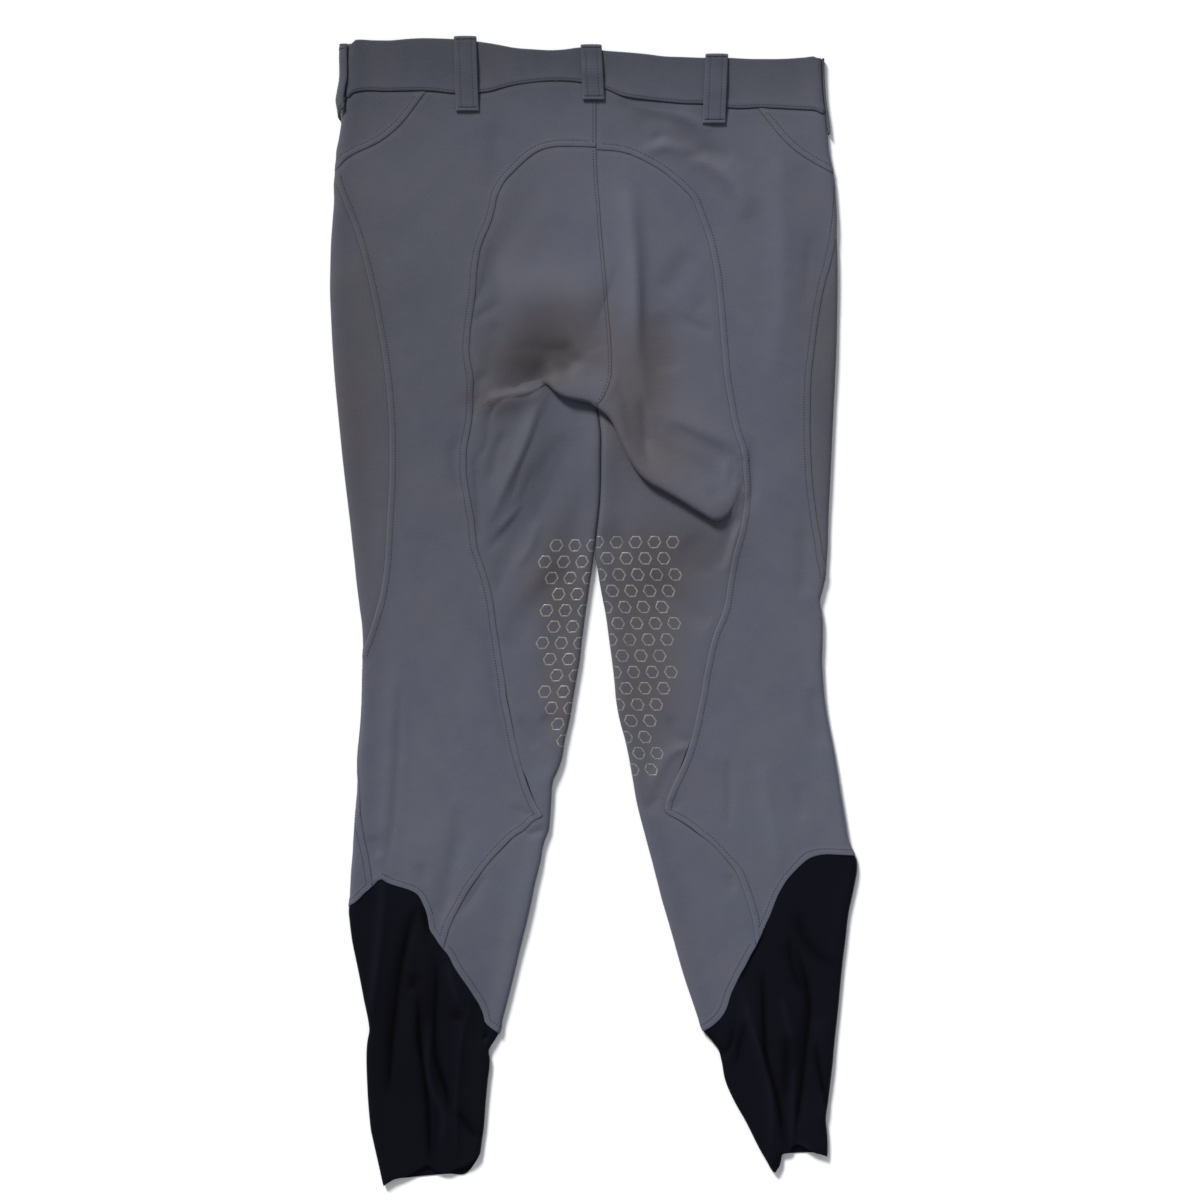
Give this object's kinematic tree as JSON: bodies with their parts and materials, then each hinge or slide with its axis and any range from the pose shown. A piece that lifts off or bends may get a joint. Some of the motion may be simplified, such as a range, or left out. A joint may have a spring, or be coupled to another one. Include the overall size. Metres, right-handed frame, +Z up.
{
  "type": "riding breeches",
  "caption": "Full-length riding breeches laid flat on their front, with a shaped seat panel, silicone knee grip and thin stretch calf ends.",
  "frame": {"origin": "on the surface the garment lies on, under the middle of its extent", "axes": "+Y along the garment towards the waist, +Z up through the layers from the front to the back of the garment, +X towards the wearer's right side"},
  "size_m": [0.4622, 1.0134, 0.0146],
  "materials": {
    "softshell": "smooth matt grey stretch cloth",
    "lycra": "thin black stretch cloth with a soft sheen",
    "zip_tape": "woven tape",
    "thread": "polyester sewing thread, a little darker than the cloth",
    "silicone": "clear satin silicone print"
  },
  "bodies": {
    "root": {"waistband": "softshell", "loop_back_left": "softshell", "loop_back_center": "softshell", "loop_back_right": "softshell", "loop_side_left": "softshell", "loop_side_right": "softshell", "yoke_left": "softshell", "side_left": "softshell", "back_left": "softshell", "front_left": "softshell", "inner_left": "softshell", "yoke_right": "softshell", "side_right": "softshell", "back_right": "softshell", "front_right": "softshell", "inner_right": "softshell", "sock_left": "lycra", "sock_right": "lycra", "fly_zip": "zip_tape"}
  },
  "joints": []
}
